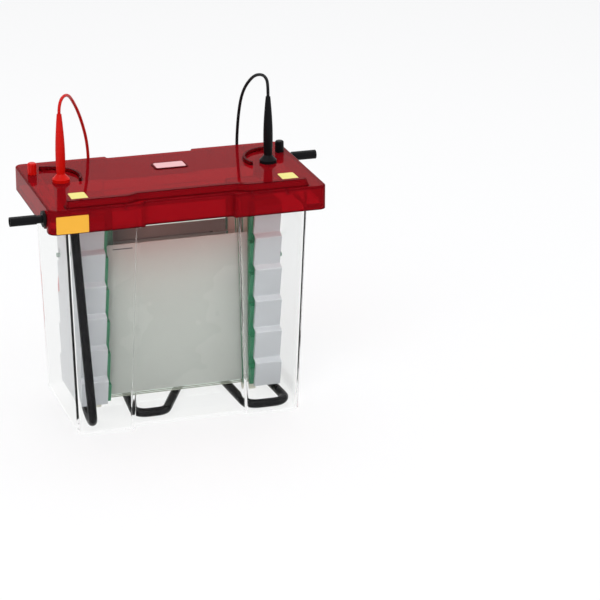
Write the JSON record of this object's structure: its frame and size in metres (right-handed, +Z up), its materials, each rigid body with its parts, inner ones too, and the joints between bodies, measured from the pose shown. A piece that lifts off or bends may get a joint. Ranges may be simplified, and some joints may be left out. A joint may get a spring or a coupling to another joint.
{
  "type": "vertical electrophoresis tank",
  "caption": "Clear drafted buffer tank with lift-out gel module, wave-shaped wedge clamps, cooling tube and a red safety lid with two power leads.",
  "frame": {"origin": "on the bench under the middle of the tank", "axes": "+X right along the long side, +Y to the back, +Z up"},
  "size_m": [0.35, 0.2493, 0.3352],
  "materials": {
    "tank_clear": "clear, polished",
    "coil_black": "satin",
    "grommet_black": "matte",
    "hose_black": "satin",
    "lid_red": "transparent red, polished",
    "contact_brass": "turned",
    "cap_red": "gloss",
    "cap_black": "gloss",
    "core_frosted": "frosted",
    "gasket_green": "matte",
    "plate_glass": "polished",
    "spacer_grey": "satin",
    "gel_slab": "moist",
    "clamp_white": "satin moulded",
    "bar_green": "satin moulded",
    "post_dark": "satin",
    "pin_gold": "gold plated",
    "pin_nickel": "nickel plated",
    "platinum": "drawn wire",
    "boot_red": "soft satin",
    "boot_black": "soft satin",
    "lead_red": "silicone",
    "lead_black": "silicone",
    "tie_black": "matte"
  },
  "bodies": {
    "tank": {"tank": "tank_clear", "cooling_coil": "coil_black", "coil_grommets": "grommet_black", "coil_hose_ends": "hose_black"},
    "gel_module": {"core_frame": "core_frosted", "cathode_wire": "platinum", "anode_wire": "platinum", "front_gasket": "gasket_green", "front_notched_plate": "plate_glass", "front_spacers": "spacer_grey", "front_gel": "gel_slab", "front_outer_plate": "plate_glass", "back_gasket": "gasket_green", "back_notched_plate": "plate_glass", "back_spacers": "spacer_grey", "back_gel": "gel_slab", "back_outer_plate": "plate_glass", "left_electrode_post": "post_dark", "left_module_pin": "pin_gold", "right_electrode_post": "post_dark", "right_module_pin": "pin_gold"},
    "lid": {"lid": "lid_red", "socket_contacts": "contact_brass"},
    "left_clamp": {"left_wave_clamp": "clamp_white"},
    "front_left_bar": {"front_left_pressure_bar": "bar_green"},
    "back_left_bar": {"back_left_pressure_bar": "bar_green"},
    "right_clamp": {"right_wave_clamp": "clamp_white"},
    "front_right_bar": {"front_right_pressure_bar": "bar_green"},
    "back_right_bar": {"back_right_pressure_bar": "bar_green"},
    "red_plug": {"red_plug_boot": "boot_red", "red_plug_pin": "pin_nickel", "red_lead": "lead_red", "red_lead_coil": "lead_red", "red_lead_tie": "tie_black", "red_lead_tail": "lead_red", "red_far_plug": "boot_red", "red_far_plug_pin": "pin_nickel"},
    "red_cap": {"red_port_cap": "cap_red"},
    "black_plug": {"black_plug_boot": "boot_black", "black_plug_pin": "pin_nickel", "black_lead": "lead_black", "black_lead_coil": "lead_black", "black_lead_tie": "tie_black", "black_lead_tail": "lead_black", "black_far_plug": "boot_black", "black_far_plug_pin": "pin_nickel"},
    "black_cap": {"black_port_cap": "cap_black"}
  },
  "joints": [
    {"name": "module_lift", "type": "slide", "parent": "tank", "child": "gel_module", "axis": [0, 0, 1], "range_m": [0, 0.24]},
    {"name": "lid_lift", "type": "slide", "parent": "gel_module", "child": "lid", "axis": [0, 0, 1], "range_m": [0, 0.08]},
    {"name": "left_clamp_slide", "type": "slide", "parent": "gel_module", "child": "left_clamp", "axis": [0, 0, -1], "range_m": [0, 0.0042]},
    {"name": "front_left_bar_slide", "type": "slide", "parent": "gel_module", "child": "front_left_bar", "axis": [0, -1, 0], "range_m": [0, 0.00096]},
    {"name": "back_left_bar_slide", "type": "slide", "parent": "gel_module", "child": "back_left_bar", "axis": [0, 1, 0], "range_m": [0, 0.00096]},
    {"name": "right_clamp_slide", "type": "slide", "parent": "gel_module", "child": "right_clamp", "axis": [0, 0, -1], "range_m": [0, 0.0042]},
    {"name": "front_right_bar_slide", "type": "slide", "parent": "gel_module", "child": "front_right_bar", "axis": [0, -1, 0], "range_m": [0, 0.00096]},
    {"name": "back_right_bar_slide", "type": "slide", "parent": "gel_module", "child": "back_right_bar", "axis": [0, 1, 0], "range_m": [0, 0.00096]},
    {"name": "red_plug_pull", "type": "slide", "parent": "lid", "child": "red_plug", "axis": [0, 0, 1], "range_m": [0, 0.03]},
    {"name": "red_cap_pull", "type": "slide", "parent": "lid", "child": "red_cap", "axis": [0, 0, 1], "range_m": [0, 0.012]},
    {"name": "black_plug_pull", "type": "slide", "parent": "lid", "child": "black_plug", "axis": [0, 0, 1], "range_m": [0, 0.03]},
    {"name": "black_cap_pull", "type": "slide", "parent": "lid", "child": "black_cap", "axis": [0, 0, 1], "range_m": [0, 0.012]}
  ],
  "couplings": [
    {"joint": "front_left_bar_slide", "follows": "left_clamp_slide", "ratio": 0.22839},
    {"joint": "back_left_bar_slide", "follows": "left_clamp_slide", "ratio": 0.22839},
    {"joint": "front_right_bar_slide", "follows": "right_clamp_slide", "ratio": 0.22839},
    {"joint": "back_right_bar_slide", "follows": "right_clamp_slide", "ratio": 0.22839}
  ]
}
